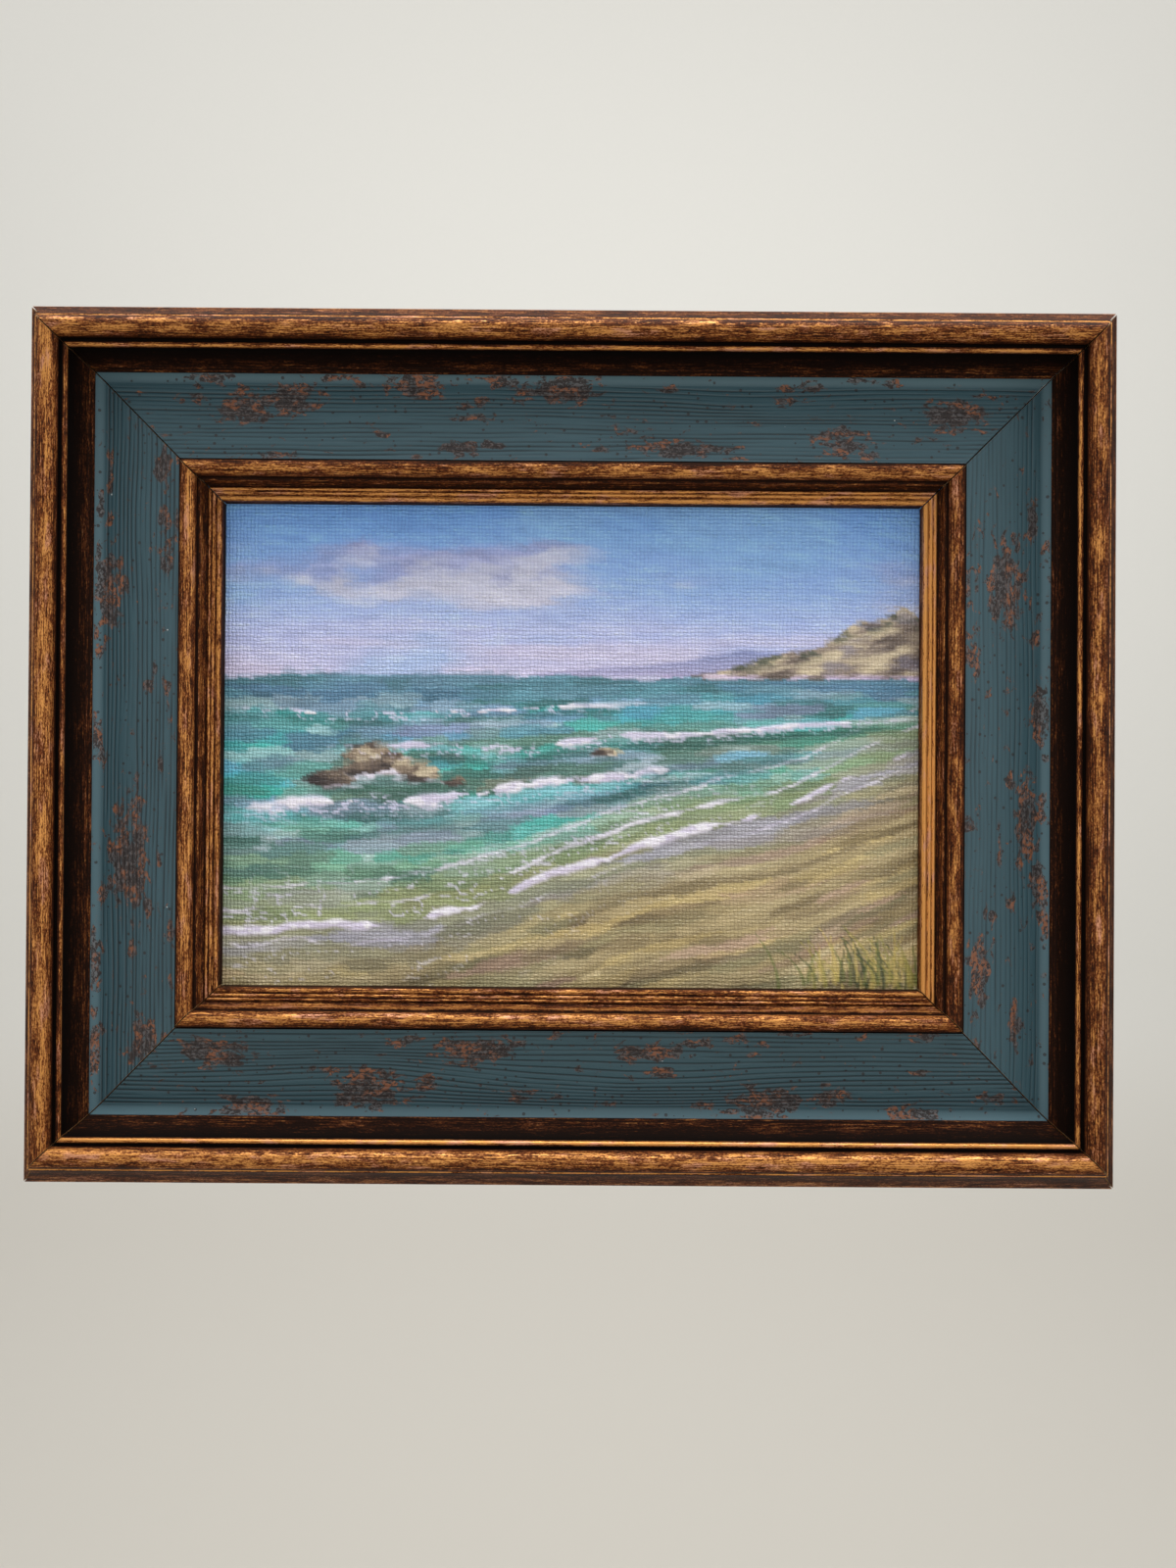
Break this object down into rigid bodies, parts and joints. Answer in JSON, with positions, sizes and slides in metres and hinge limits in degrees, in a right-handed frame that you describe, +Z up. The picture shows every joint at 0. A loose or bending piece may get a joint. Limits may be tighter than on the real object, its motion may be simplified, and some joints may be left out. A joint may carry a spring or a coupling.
{
  "type": "framed oil painting",
  "caption": "Small landscape-format painting on a canvas panel, in a deep mitred moulding frame with a broad sunk panel, that hangs flat on a wall.",
  "frame": {"origin": "middle of the hanger plate's rear face, in the plane of the wall", "axes": "+Y into the wall, so the picture faces -Y; +X to the viewer's right, along the picture's long side; +Z up"},
  "size_m": [0.262, 0.0252, 0.211],
  "materials": {
    "moulding": "rubbed dark bronze with a distressed blue-green painted panel",
    "canvas": "oil paint on woven canvas, lightly varnished",
    "steel_points": "zinc-plated sheet",
    "hanger": "brassed sheet",
    "nails": "zinc-plated"
  },
  "bodies": {
    "root": {"rail_top": "moulding", "rail_bottom": "moulding", "rail_left": "moulding", "rail_right": "moulding", "canvas_panel": "canvas", "point_top": "steel_points", "point_bottom": "steel_points", "point_left": "steel_points", "point_right": "steel_points", "hanger_plate": "hanger", "hanger_nail_left": "nails", "hanger_nail_right": "nails"}
  },
  "joints": []
}
